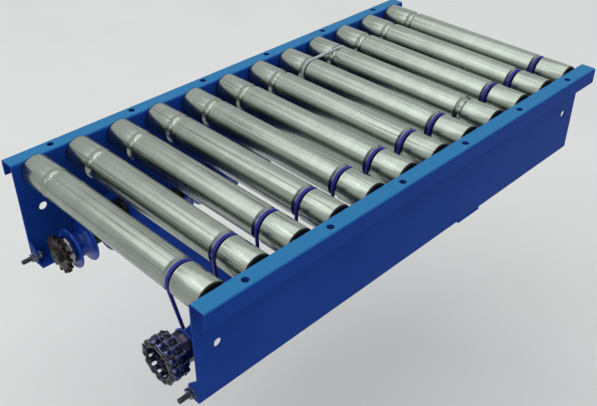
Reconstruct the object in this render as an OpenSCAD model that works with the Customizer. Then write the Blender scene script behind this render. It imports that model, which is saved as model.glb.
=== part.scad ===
// Powered roller conveyor section: belt driven rollers in two folded side rails,
// two line shafts with grooved spools and a duplex roller chain shaft coupling.
// X runs along the section, Y across it and Z up.
// The origin is midway along and between the rails, level with their top flanges.

/* [Rails] */
// distance between the inner faces of the two rail webs
clear_w = 412.4; // [380:0.2:440]
// height of the rails from foot to top flange
rail_h = 175; // [172:1:185]
// thickness of the folded sheet
sheet = 3; // [2:0.5:4]
// overall width of each top flange
flange_w = 29.3; // [26:0.1:36]
// depth of the lip on the outer edge of each top flange
lip_h = 27; // [15:1:30]
// width of the foot folded inward at the bottom of each rail
foot_w = 33; // [30:1:34]
// diameter of the bolt holes in the top flanges
flange_hole_d = 11; // [7:0.5:13]
// diameter of the holes in the webs
web_hole_d = 14; // [8:0.5:16]

/* [Rollers] */
// spacing of the roller axles
pitch = 75; // [70:1:90]
// outside diameter of the roller tubes
roller_d = 50; // [44:1:54]
// wall of the roller tubes
wall = 1.5; // [1.2:0.1:2]
// height of the roller tops above the top flanges
roller_rise = 5; // [2:1:10]
// distance of the belt grooves from the middle of the rollers
groove_y = 143; // [130:1:150]
// bottom radius of the belt grooves
groove_r = 19.5; // [18.5:0.1:20]
// width across the flats of the fixed axles
axle_af = 11; // [8:0.5:12]

/* [Drive] */
// height of the line shaft axis below the top flanges
shaft_drop = 137; // [130:1:138]
// diameter of the line shafts
shaft_d = 25; // [20:1:26]
// diameter of the round belts
belt_d = 5.5; // [4:0.5:6]
// overall width of the spools
spool_w = 30; // [26:1:32]
// diameter of the spool flanges on the near shaft
near_spool_d = 50; // [49:0.5:60]
// diameter of the spool flanges on the far shaft
far_spool_d = 67; // [49:1:68]
// shift of the first spool on the near shaft away from the coupling
near_shift = 9.5; // [9.5:0.5:16]
// shift of the first spool on the far shaft
far_shift = 13; // [12:0.5:16]

/* [Coupling] */
// chain pitch
chain_pitch = 12.7; // [12.7:0.1:12.7]
// transverse pitch of the two chain strands
strand_pitch = 13.92; // [13.92:0.01:14.4]
// number of links round the coupling
links = 14; // [14:2:14]

/* [Hidden] */
$fn = 64;
n_rollers = 12;
rail_len = n_rollers * pitch;
xe = -rail_len / 2;
web_y = clear_w / 2;
bend_out = 4.5;
bend_in = bend_out - sheet;
roller_z = roller_rise - roller_d / 2;
tube_r = roller_d / 2;
tube_half = web_y - 3.5;
groove_arc = 8;
groove_c = groove_r + groove_arc;
belt_r = belt_d / 2;
belt_line_r = groove_r + belt_r + 0.3;
drop = shaft_drop + roller_z;
waist_r = groove_r;
hole_y = web_y + 16.1;
stud_y = web_y - 11.2;
stud_z = -rail_h + 13;
tab_w = 19.5;
tab_h = 38;
tab_clip = 15.5;
chan_x = 136;
chan_w = 34;
chan_top = -shaft_drop + 19;
foot_top = -rail_h + sheet;
foot_x = 9;
plate_t = 7.5;
bush_r = shaft_d / 2 + 2;
pin_r = 2.225;
bush_out = 3.1;
link_r = 5.7;
pin_circle = chain_pitch / (2 * sin(180 / links));
link_circle = chain_pitch / (2 * tan(180 / links));
chain_phase = 96;
waist_h = 4.4;
waist_arc = 10.46;
drive_x = 559;
drive_w = 60;

function rx(i) = xe + pitch * (i + 0.5);
function sx(i, shift = near_shift) = rx(i) + (i == 0 ? shift : 0);
function lean(off, k = 4) = k == 0 ? 11.4 :
  let(a = lean(off, k - 1))
  atan((belt_line_r * cos(a) + off) / (drop - belt_line_r * (sin(a) + 0.198)));

module along_x(x0, len, y = 0, z = 0) {
  translate([x0, y, z]) rotate([90, 0, 90]) linear_extrude(height = len) children();
}

module rod_x(x0, x1, y, z, r, n = 64) {
  translate([x0, y, z]) rotate([90, 0, 90]) cylinder(r = r, h = x1 - x0, $fn = n);
}

module rod_y(y0, y1, x, z, r, n = 64) {
  translate([x, y0, z]) rotate([-90, 0, 0]) cylinder(r = r, h = y1 - y0, $fn = n);
}

module rod_z(z0, z1, x, y, r, n = 64) {
  translate([x, y, z0]) cylinder(r = r, h = z1 - z0, $fn = n);
}

module rod_between(p, q, r) {
  d = q - p;
  len = norm(d);
  translate(p) rotate([0, acos(d[2] / len), atan2(d[1], d[0])]) cylinder(r = r, h = len, $fn = 32);
}

module bend(y, z, qy, qz) {
  translate([y, z]) intersection() {
    difference() {
      circle(r = bend_out);
      circle(r = bend_in);
    }
    translate([qy > 0 ? 0 : -bend_out, qz > 0 ? 0 : -bend_out]) square(bend_out);
  }
}

// folded rail section: lip, top flange, web and foot
module rail_profile() {
  translate([web_y, -rail_h + bend_out]) square([sheet, rail_h - 2 * bend_out]);
  translate([web_y + bend_out, -sheet]) square([flange_w - 2 * bend_out, sheet]);
  translate([web_y + flange_w - sheet, -lip_h]) square([sheet, lip_h - bend_out]);
  translate([web_y + sheet - foot_w, -rail_h]) square([foot_w - bend_out, sheet]);
  bend(web_y + bend_out, -bend_out, -1, 1);
  bend(web_y + flange_w - bend_out, -bend_out, 1, 1);
  bend(web_y + sheet - bend_out, -rail_h + bend_out, 1, -1);
}

// end tab for the joint stud, its free corner clipped
module tab_profile() {
  polygon([[web_y - tab_w, foot_top - 1], [web_y + 1, foot_top - 1], [web_y + 1, tab_h - rail_h],
    [web_y - tab_w + tab_clip, tab_h - rail_h], [web_y - tab_w, tab_h - rail_h - tab_clip]]);
}

// far side rail with its axle, bolt, joint and cross channel holes
module rail() {
  difference() {
    union() {
      along_x(xe, rail_len) rail_profile();
      for (x = [xe, -xe - sheet])
        along_x(x, sheet) tab_profile();
    }
    for (i = [0:n_rollers - 1])
      rod_y(web_y - 2, web_y + sheet + 2, rx(i), roller_z, (axle_af + 0.2) / 2 / cos(30), 6);
    for (k = [0:2:n_rollers - 2])
      rod_z(-sheet - 2, 2, xe + pitch * (k + 1), hole_y, flange_hole_d / 2);
    for (x = [xe + 36, -xe - 36])
      rod_y(web_y - 2, web_y + sheet + 2, x, -88, web_hole_d / 2);
    for (x = [xe, -xe - sheet])
      rod_x(x - 2, x + sheet + 2, stud_y, stud_z, x < 0 ? 4.1 : 4.5);
    for (x = [chan_x - foot_x, chan_x + chan_w + foot_x], s = [-1, 1])
      rod_z(-rail_h - 2, foot_top + 2, s * (xe + x), stud_y - 3.5, 3.05);
    for (x = [drive_x + 16, drive_x + drive_w - 16])
      rod_z(-rail_h - 2, foot_top + 2, xe + x, stud_y - 3.5, 4.2);
  }
}

module near_side_rail() {
  color([0.11, 0.27, 0.5]) mirror([0, 1, 0]) rail();
}

module far_side_rail() {
  color([0.11, 0.27, 0.5]) rail();
}

module leg_bend(x, z, qx) {
  translate([x, z]) intersection() {
    difference() {
      circle(r = bend_out);
      circle(r = bend_in);
    }
    translate([qx > 0 ? 0 : -bend_out, 0]) square(bend_out);
  }
}

// inverted channel section standing on its two legs
module channel_profile(w, h) {
  translate([bend_out, h - sheet]) square([w - 2 * bend_out, sheet]);
  square([sheet, h - bend_out]);
  translate([w - sheet, 0]) square([sheet, h - bend_out]);
  leg_bend(bend_out, h - bend_out, -1);
  leg_bend(w - bend_out, h - bend_out, 1);
}

// cross channel between the webs with feet for the screws
module cross_channel() {
  x0 = xe + chan_x;
  half = web_y - 1.8;
  difference() {
    union() {
      translate([x0, half, foot_top]) rotate([90, 0, 0])
        linear_extrude(height = 2 * half) channel_profile(chan_w, chan_top - foot_top);
      for (x = [x0 - 18, x0 + chan_w - sheet], s = [-1, 1])
        translate([x, s * (stud_y - 3.5) - 12, foot_top]) cube([18 + sheet, 24, sheet]);
    }
    for (s = [-1, 1]) {
      rod_x(x0 - 2, x0 + sheet + 2, s * groove_y, -shaft_drop, bush_r + 0.1);
      rod_x(x0 + chan_w - sheet - 2, x0 + chan_w + 2, s * groove_y, -shaft_drop, shaft_d / 2 + 3);
      for (d = [-11, 11])
        rod_x(x0 - 2, x0 + sheet + 2, s * groove_y + d, -shaft_drop - 23, 3.2);
      for (x = [x0 - foot_x, x0 + chan_w + foot_x])
        rod_z(foot_top - 2, foot_top + sheet + 2, x, s * (stud_y - 3.5), 3.05);
    }
  }
}

module cross_channel_front() {
  color([0.11, 0.25, 0.6]) cross_channel();
}

module cross_channel_rear() {
  color([0.11, 0.25, 0.6]) mirror([1, 0, 0]) cross_channel();
}

module cross_channel_screws() {
  color([0.3, 0.3, 0.32])
  for (x = [chan_x - foot_x, chan_x + chan_w + foot_x], m = [-1, 1], s = [-1, 1]) {
    rod_z(foot_top + sheet, foot_top + sheet + 4, m * (xe + x), s * (stud_y - 3.5), 5.77, 6);
    rod_z(-rail_h, foot_top + sheet + 1, m * (xe + x), s * (stud_y - 3.5), 3);
  }
}

// shallow channel under the rails that carries the drive, flat where it lies under the feet
module drive_channel() {
  half = web_y + sheet;
  leg_half = web_y - 42;
  color([0.11, 0.25, 0.55]) difference() {
    union() {
      translate([xe + drive_x, leg_half, -rail_h - 8]) rotate([90, 0, 0])
        linear_extrude(height = 2 * leg_half) channel_profile(drive_w, 8);
      for (s = [0, 1])
        mirror([0, s, 0]) translate([xe + drive_x, leg_half - 1, -rail_h - sheet])
          cube([drive_w, half - leg_half + 1, sheet]);
    }
    for (x = [drive_x + 16, drive_x + drive_w - 16], s = [-1, 1])
      rod_z(-rail_h - sheet - 2, -rail_h + 2, xe + x, s * (stud_y - 3.5), 4.2);
  }
}

module drive_channel_screws() {
  color([0.3, 0.3, 0.32])
  for (x = [drive_x + 16, drive_x + drive_w - 16], s = [-1, 1]) {
    rod_z(-rail_h - sheet - 4.2, -rail_h - sheet, xe + x, s * (stud_y - 3.5), 7);
    rod_z(-rail_h - sheet - 1, foot_top + 9, xe + x, s * (stud_y - 3.5), 4);
  }
}

module drive_channel_nuts() {
  color([0.35, 0.35, 0.37])
  for (x = [drive_x + 16, drive_x + drive_w - 16], s = [-1, 1])
    difference() {
      rod_z(foot_top, foot_top + 6.5, xe + x, s * (stud_y - 3.5), 7.5, 6);
      rod_z(foot_top - 1, foot_top + 8, xe + x, s * (stud_y - 3.5), 4.02);
    }
}

module joint_studs() {
  color([0.3, 0.3, 0.32])
  for (s = [-1, 1]) {
    rod_x(xe - 21.5, xe - 7.4, s * stud_y, stud_z, 4);
    rod_x(xe - 7.5, xe + 12, s * stud_y, stud_z, 3.8);
    translate([xe - 22.5, s * stud_y, stud_z]) rotate([90, 0, 90]) cylinder(r1 = 3, r2 = 4, h = 1);
  }
}

module joint_nuts() {
  color([0.35, 0.35, 0.37])
  for (s = [-1, 1], x = [-7.2, sheet])
    difference() {
      rod_x(xe + x, xe + x + 6, s * stud_y, stud_z, 7.5, 6);
      rod_x(xe + x - 1, xe + x + 7, s * stud_y, stud_z, 3.82);
    }
}

module joint_washers() {
  color([0.45, 0.45, 0.47])
  for (s = [-1, 1])
    difference() {
      rod_x(xe - 1.2, xe, s * stud_y, stud_z, 8);
      rod_x(xe - 3, xe + 2, s * stud_y, stud_z, 4.1);
    }
}

// plate with clipped top corners that carries one shaft bush
module bearing_plates() {
  color([0.07, 0.07, 0.08])
  for (m = [0, 1], s = [-1, 1])
    mirror([m, 0, 0]) difference() {
      along_x(xe + chan_x - plate_t, plate_t, s * groove_y, -shaft_drop)
        polygon([[-18, -31], [18, -31], [18, 36], [11, 43], [-11, 43], [-18, 36]]);
      rod_x(xe + chan_x - 10, xe + chan_x + 2, s * groove_y, -shaft_drop, bush_r + 0.02);
      for (d = [-11, 11])
        rod_x(xe + chan_x - plate_t + 0.5, xe + chan_x + 2, s * groove_y + d, -shaft_drop - 23, 3.02);
    }
}

module bearing_bushes() {
  color([0.55, 0.45, 0.25])
  for (m = [0, 1], s = [-1, 1])
    mirror([m, 0, 0]) difference() {
      rod_x(xe + chan_x - plate_t - 0.4, xe + chan_x + sheet + 1, s * groove_y, -shaft_drop, bush_r);
      rod_x(xe + chan_x - 12, xe + chan_x + 8, s * groove_y, -shaft_drop, shaft_d / 2 + 0.05);
    }
}

module bearing_screws() {
  color([0.3, 0.3, 0.32])
  for (m = [0, 1], s = [-1, 1], d = [-11, 11])
    mirror([m, 0, 0]) {
      rod_x(xe + chan_x + sheet, xe + chan_x + sheet + 4, s * groove_y + d, -shaft_drop - 23, 5.77, 6);
      rod_x(xe + chan_x - plate_t + 1, xe + chan_x + sheet + 1, s * groove_y + d, -shaft_drop - 23, 3);
    }
}

module roller_axles() {
  color([0.25, 0.25, 0.26])
  for (i = [0:n_rollers - 1])
    rod_y(-web_y - 8, web_y + 8, rx(i), roller_z, axle_af / 2 / cos(30), 6);
}

module roller_cones() {
  color([0.4, 0.4, 0.42])
  for (i = [0:n_rollers - 1], s = [0, 1])
    mirror([0, s, 0]) difference() {
      rod_y(web_y - 14, web_y - 0.2, rx(i), roller_z, 10);
      rod_y(web_y - 16, web_y + 1, rx(i), roller_z, (axle_af + 0.1) / 2 / cos(30), 6);
    }
}

module tube_profile() {
  difference() {
    union() {
      translate([tube_r - wall, -tube_half]) square([wall, 2 * tube_half]);
      for (g = [-groove_y, groove_y]) intersection() {
        translate([groove_c, g]) circle(r = groove_arc + wall);
        translate([tube_r - 9, g - 12]) square([9, 24]);
      }
    }
    for (g = [-groove_y, groove_y])
      translate([groove_c, g]) circle(r = groove_arc);
  }
}

module roller_tube(i) {
  color([0.62, 0.65, 0.62])
  translate([rx(i), 0, roller_z]) rotate([-90, 0, 0]) rotate_extrude() tube_profile();
}

module roller_caps(i) {
  color([0.06, 0.06, 0.07])
  for (s = [0, 1])
    mirror([0, s, 0]) difference() {
      union() {
        rod_y(tube_half - 12, tube_half + 1, rx(i), roller_z, tube_r - wall - 0.05);
        rod_y(tube_half + 0.05, tube_half + 2, rx(i), roller_z, tube_r - 0.4);
      }
      rod_y(tube_half - 14, tube_half + 4, rx(i), roller_z, 10.05);
      difference() {
        rod_y(tube_half + 0.8, tube_half + 4, rx(i), roller_z, 21);
        rod_y(tube_half - 1, tube_half + 6, rx(i), roller_z, 13);
      }
    }
}

// quarter turn belt: over the roller groove and under the spool
module drive_belt(i) {
  a1 = lean(sx(i) - rx(i));
  a2 = lean(rx(i) - sx(i));
  b = lean(0);
  rr = belt_line_r;
  p1 = [rx(i) - rr * cos(a1), -groove_y, roller_z - rr * sin(a1)];
  p2 = [rx(i) + rr * cos(a2), -groove_y, roller_z - rr * sin(a2)];
  q1 = [sx(i), -groove_y + rr * cos(b), -shaft_drop + rr * sin(b)];
  q2 = [sx(i), -groove_y - rr * cos(b), -shaft_drop + rr * sin(b)];
  translate([rx(i), -groove_y, roller_z]) rotate([90, 0, 0]) rotate([0, 0, -a2])
    rotate_extrude(angle = 180 + a1 + a2) translate([rr, 0]) circle(r = belt_r, $fn = 32);
  translate([sx(i), -groove_y, -shaft_drop]) rotate([90, 0, 90]) rotate([0, 0, 180 - b])
    rotate_extrude(angle = 180 + 2 * b) translate([rr, 0]) circle(r = belt_r, $fn = 32);
  rod_between(p1, q1, belt_r);
  rod_between(p2, q2, belt_r);
  for (p = [p1, p2, q1, q2])
    translate(p) sphere(r = belt_r + 0.04, $fn = 32);
}

module drive_belts() {
  color([0.12, 0.12, 0.5])
  for (i = [0:n_rollers - 1])
    if (i != 8) drive_belt(i);
}

module slave_band() {
  color([0.6, 0.62, 0.66])
  translate([0, groove_y, roller_z]) {
    for (k = [0, 1])
      translate([rx(7 + k), 0, 0]) rotate([90, 0, 0]) rotate([0, 0, 90 - 180 * k])
        rotate_extrude(angle = 180) translate([belt_line_r, 0]) circle(r = belt_r, $fn = 32);
    for (k = [-1, 1])
      rod_x(rx(7), rx(8), 0, k * belt_line_r, belt_r, 32);
  }
}

// concave spool between two flanges
module spool(x, y, d) {
  translate([x - spool_w / 2, y, -shaft_drop]) rotate([90, 0, 90]) rotate_extrude()
    difference() {
      translate([shaft_d / 2 + 0.02, 0]) square([(d - shaft_d) / 2 - 0.02, spool_w]);
      intersection() {
        translate([waist_r + spool_w * 2 / 3, spool_w / 2]) circle(r = spool_w * 2 / 3);
        translate([waist_r - 2, 3]) square([40, spool_w - 6]);
      }
    }
}

module near_spools() {
  color([0.1, 0.12, 0.45])
  for (i = [0:n_rollers - 1])
    if (i != 8) spool(sx(i), -groove_y, near_spool_d);
}

module far_spools() {
  color([0.1, 0.12, 0.45])
  for (i = [0:n_rollers - 1])
    spool(sx(i, far_shift), groove_y, far_spool_d);
}

module near_line_shaft() {
  color([0.08, 0.08, 0.09]) {
    rod_x(xe + 3, -xe - 1, -groove_y, -shaft_drop, shaft_d / 2);
    translate([xe + 2, -groove_y, -shaft_drop]) rotate([90, 0, 90])
      cylinder(r1 = shaft_d / 2 - 1, r2 = shaft_d / 2, h = 1);
  }
}

module far_line_shaft() {
  color([0.08, 0.08, 0.09]) {
    rod_x(xe + 8.6, -xe - 8, groove_y, -shaft_drop, shaft_d / 2);
    translate([xe + 7.6, groove_y, -shaft_drop]) rotate([90, 0, 90])
      cylinder(r1 = shaft_d / 2 - 1, r2 = shaft_d / 2, h = 1);
  }
}

// toothed disc for the chain, teeth between the roller seats
module sprocket_profile(phase) {
  difference() {
    circle(r = pin_circle + 3.1);
    circle(r = shaft_d / 2 + 0.02);
    for (k = [0:links - 1])
      rotate([0, 0, phase + k * 360 / links]) {
        translate([pin_circle, 0]) circle(r = 4.4);
        polygon([[pin_circle, -4.4], [36, -5.9], [36, 5.9], [pin_circle, 4.4]]);
      }
  }
}

module coupling_sprocket() {
  color([0.3, 0.3, 0.33])
  along_x(xe + 3.4, 7.2, -groove_y, -shaft_drop) sprocket_profile(chain_phase);
}

module flat_hub(x0, x1, y) {
  difference() {
    rod_x(x0, x1, y, -shaft_drop, 23.5, 12);
    rod_x(x0 - 1, x1 + 1, y, -shaft_drop, shaft_d / 2 + 0.02);
  }
}

module coupling_hub() {
  color([0.6, 0.6, 0.63]) {
    flat_hub(xe + 15.9, xe + 31.7, -groove_y);
    difference() {
      rod_x(xe + 10.7, xe + 16, -groove_y, -shaft_drop, 21);
      rod_x(xe + 9, xe + 17, -groove_y, -shaft_drop, shaft_d / 2 + 0.02);
    }
  }
}

module drive_sprocket() {
  color([0.12, 0.11, 0.11]) {
    along_x(rx(8) - 3.6, 7.2, -groove_y, -shaft_drop) sprocket_profile(0);
    flat_hub(rx(8) + 3.5, rx(8) + 18, -groove_y);
  }
}

module exit_sprocket() {
  color([0.12, 0.11, 0.11]) {
    along_x(-xe - 9, 7.2, -groove_y, -shaft_drop) sprocket_profile(0);
    flat_hub(-xe - 21, -xe - 8.9, -groove_y);
  }
}

module far_sprocket() {
  color([0.12, 0.11, 0.11])
  along_x(xe + 14, 7.2, groove_y, -shaft_drop) sprocket_profile(6);
}

module far_hub() {
  color([0.6, 0.6, 0.63]) flat_hub(xe + 21.3, xe + 33, groove_y);
}

// waisted link plate lying along Y of its own frame
module link_shape(hole) {
  difference() {
    union() {
      for (s = [-1, 1])
        translate([0, s * chain_pitch / 2]) circle(r = link_r);
      difference() {
        square([10.48, 8.22], center = true);
        for (s = [-1, 1])
          translate([s * (waist_h + waist_arc), 0]) circle(r = waist_arc);
      }
    }
    for (s = [-1, 1])
      translate([0, s * chain_pitch / 2]) circle(r = hole);
  }
}

module link_plate(k, x0, t, hole) {
  translate([xe, -groove_y, -shaft_drop]) rotate([90, 0, 90])
    rotate([0, 0, chain_phase + (k + 0.5) * 360 / links])
      translate([link_circle, 0, x0]) linear_extrude(height = t) link_shape(hole);
}

module at_pin(k) {
  translate([xe, -groove_y, -shaft_drop]) rotate([90, 0, 90])
    rotate([0, 0, chain_phase + k * 360 / links]) translate([pin_circle, 0, 0]) children();
}

module chain_inner_plates() {
  color([0.35, 0.35, 0.42])
  for (k = [1:2:links - 1], c = [-strand_pitch / 2, strand_pitch / 2], x = [-5.5, 3.9])
    link_plate(k, c + x, 1.6, bush_out + 0.02);
}

module chain_outer_plates() {
  color([0.4, 0.4, 0.48])
  for (k = [0:2:links - 2]) {
    link_plate(k, -strand_pitch / 2 - 7.14, 1.5, pin_r + 0.02);
    link_plate(k, strand_pitch / 2 + 5.64, 1.5, pin_r + 0.02);
    link_plate(k, -1.3, 2.6, pin_r + 0.02);
  }
}

module chain_bushes() {
  color([0.45, 0.45, 0.48])
  for (k = [0:links - 1], c = [-strand_pitch / 2, strand_pitch / 2])
    at_pin(k) translate([0, 0, c - 5.5]) difference() {
      cylinder(r = bush_out, h = 11, $fn = 32);
      translate([0, 0, -1]) cylinder(r = pin_r + 0.05, h = 13, $fn = 32);
    }
}

module chain_rollers() {
  color([0.5, 0.5, 0.53])
  for (k = [0:links - 1], c = [-strand_pitch / 2, strand_pitch / 2])
    at_pin(k) translate([0, 0, c - 3.8]) difference() {
      cylinder(r = 4.25, h = 7.6, $fn = 32);
      translate([0, 0, -1]) cylinder(r = bush_out + 0.05, h = 10, $fn = 32);
    }
}

module chain_pins() {
  color([0.55, 0.55, 0.6])
  for (k = [0:links - 1])
    at_pin(k) {
      translate([0, 0, -15]) cylinder(r = pin_r, h = 30, $fn = 32);
      translate([0, 0, 15]) cylinder(r1 = pin_r, r2 = pin_r - 0.5, h = 0.5, $fn = 32);
      translate([0, 0, -15.5]) cylinder(r1 = pin_r - 0.5, r2 = pin_r, h = 0.5, $fn = 32);
    }
}

near_side_rail();
far_side_rail();
cross_channel_front();
cross_channel_rear();
cross_channel_screws();
drive_channel();
drive_channel_screws();
drive_channel_nuts();
joint_studs();
joint_nuts();
joint_washers();
bearing_plates();
bearing_bushes();
bearing_screws();
roller_axles();
roller_cones();
drive_belts();
slave_band();
roller_tube(0);  // roller_01_tube
roller_caps(0);  // roller_01_caps
roller_tube(1);  // roller_02_tube
roller_caps(1);  // roller_02_caps
roller_tube(2);  // roller_03_tube
roller_caps(2);  // roller_03_caps
roller_tube(3);  // roller_04_tube
roller_caps(3);  // roller_04_caps
roller_tube(4);  // roller_05_tube
roller_caps(4);  // roller_05_caps
roller_tube(5);  // roller_06_tube
roller_caps(5);  // roller_06_caps
roller_tube(6);  // roller_07_tube
roller_caps(6);  // roller_07_caps
roller_tube(7);  // roller_08_tube
roller_caps(7);  // roller_08_caps
roller_tube(8);  // roller_09_tube
roller_caps(8);  // roller_09_caps
roller_tube(9);  // roller_10_tube
roller_caps(9);  // roller_10_caps
roller_tube(10);  // roller_11_tube
roller_caps(10);  // roller_11_caps
roller_tube(11);  // roller_12_tube
roller_caps(11);  // roller_12_caps
near_line_shaft();
near_spools();
drive_sprocket();
exit_sprocket();
coupling_sprocket();
coupling_hub();
chain_inner_plates();
chain_outer_plates();
chain_bushes();
chain_rollers();
chain_pins();
far_line_shaft();
far_spools();
far_sprocket();
far_hub();
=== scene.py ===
import bpy, bmesh, math
from mathutils import Vector, Matrix
from mathutils.geometry import tessellate_polygon


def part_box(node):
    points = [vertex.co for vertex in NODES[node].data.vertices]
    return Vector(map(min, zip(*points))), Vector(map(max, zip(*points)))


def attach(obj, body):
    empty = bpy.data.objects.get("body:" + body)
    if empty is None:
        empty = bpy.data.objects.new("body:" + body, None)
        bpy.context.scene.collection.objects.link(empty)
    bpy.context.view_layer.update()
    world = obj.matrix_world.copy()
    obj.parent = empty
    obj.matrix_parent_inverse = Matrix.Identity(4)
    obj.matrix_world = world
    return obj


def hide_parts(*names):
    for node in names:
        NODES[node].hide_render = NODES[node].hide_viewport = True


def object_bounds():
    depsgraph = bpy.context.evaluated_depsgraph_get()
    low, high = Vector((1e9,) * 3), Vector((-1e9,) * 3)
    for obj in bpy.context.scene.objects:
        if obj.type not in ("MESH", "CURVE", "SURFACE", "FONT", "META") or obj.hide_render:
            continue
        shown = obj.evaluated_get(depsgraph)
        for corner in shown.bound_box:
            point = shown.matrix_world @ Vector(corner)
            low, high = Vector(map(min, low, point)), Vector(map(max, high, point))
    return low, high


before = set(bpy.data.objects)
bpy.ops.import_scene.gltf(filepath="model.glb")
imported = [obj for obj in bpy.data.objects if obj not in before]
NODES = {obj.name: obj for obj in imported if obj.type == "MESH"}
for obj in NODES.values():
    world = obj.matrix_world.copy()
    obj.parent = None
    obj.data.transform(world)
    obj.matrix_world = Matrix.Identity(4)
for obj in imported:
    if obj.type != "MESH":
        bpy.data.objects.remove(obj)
lo0, hi0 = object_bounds()
COL = bpy.context.scene.collection

# ---------------------------------------------------------------- placement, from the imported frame


def centre(node):
    a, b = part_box(node)
    return (a + b) / 2


def size(node):
    a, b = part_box(node)
    return b - a


# Lengths are in metres.
ROLLERS = 12
NO_BELT = 8             # index of the roller that the band drives, which has no belt
BAND_FROM = 7           # index of the roller that drives the band
RAIL_LO, RAIL_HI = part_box("far_side_rail")
XE, XF = RAIL_LO.x, RAIL_HI.x
ROLL = [centre("roller_%02d_tube" % (i + 1)) for i in range(ROLLERS)]
RZ = ROLL[0].z          # height of the roller axes
PITCH = ROLL[1].x - ROLL[0].x
TUBE_R = size("roller_01_tube").z / 2
TUBE_HALF = size("roller_01_tube").y / 2
CAP_HALF = size("roller_01_caps").y / 2
CAP_R = size("roller_01_caps").z / 2
SHAFT_R = size("near_line_shaft").z / 2
BORE_R = SHAFT_R + 0.0001
SZ = centre("near_line_shaft").z    # height of the line shafts
GY = centre("far_line_shaft").y     # distance of shafts and grooves from the middle
WEB = GY + 0.0632       # inner face of a rail's web
SHEET = 0.003           # thickness of all folded sheet
BEND_R = 0.003          # bend radius of the sheet's middle line
FOOT_Y = WEB - 0.0147   # screws through the rails' feet

GROOVE_R = 0.0195       # bottom of the roller grooves and of the spools
BELT_R = 0.00275
BELT_LINE = GROOVE_R + BELT_R + 0.0003
SPOOL_W = 0.030
SPOOL_X = [p.x + (0.0095 if i == 0 else 0) for i, p in enumerate(ROLL)]
FAR_SPOOL_X = [p.x + (0.013 if i == 0 else 0) for i, p in enumerate(ROLL)]

COUP_X = centre("chain_pins").x
STRAND = 0.01392        # distance between the two strands of the chain
LINKS = 14
CP = 0.0127             # chain pitch
PIN_C = CP / (2 * math.sin(math.pi / LINKS))
LINK_C = CP / (2 * math.tan(math.pi / LINKS))
PHASE = math.radians(96)

M8_R, M8_AF, M8_NUT_BORE = 0.004, 0.013, 0.0039
M6_R, M6_AF, M6_HEAD = 0.003, 0.010, 0.004

# ---------------------------------------------------------------- materials


def srgb(*rgb):
    """Linear colour of three sRGB values from 0 to 255."""
    shares = [c / 255 for c in rgb]
    return tuple(c / 12.92 if c <= 0.04045 else ((c + 0.055) / 1.055) ** 2.4 for c in shares) + (1,)


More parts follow.
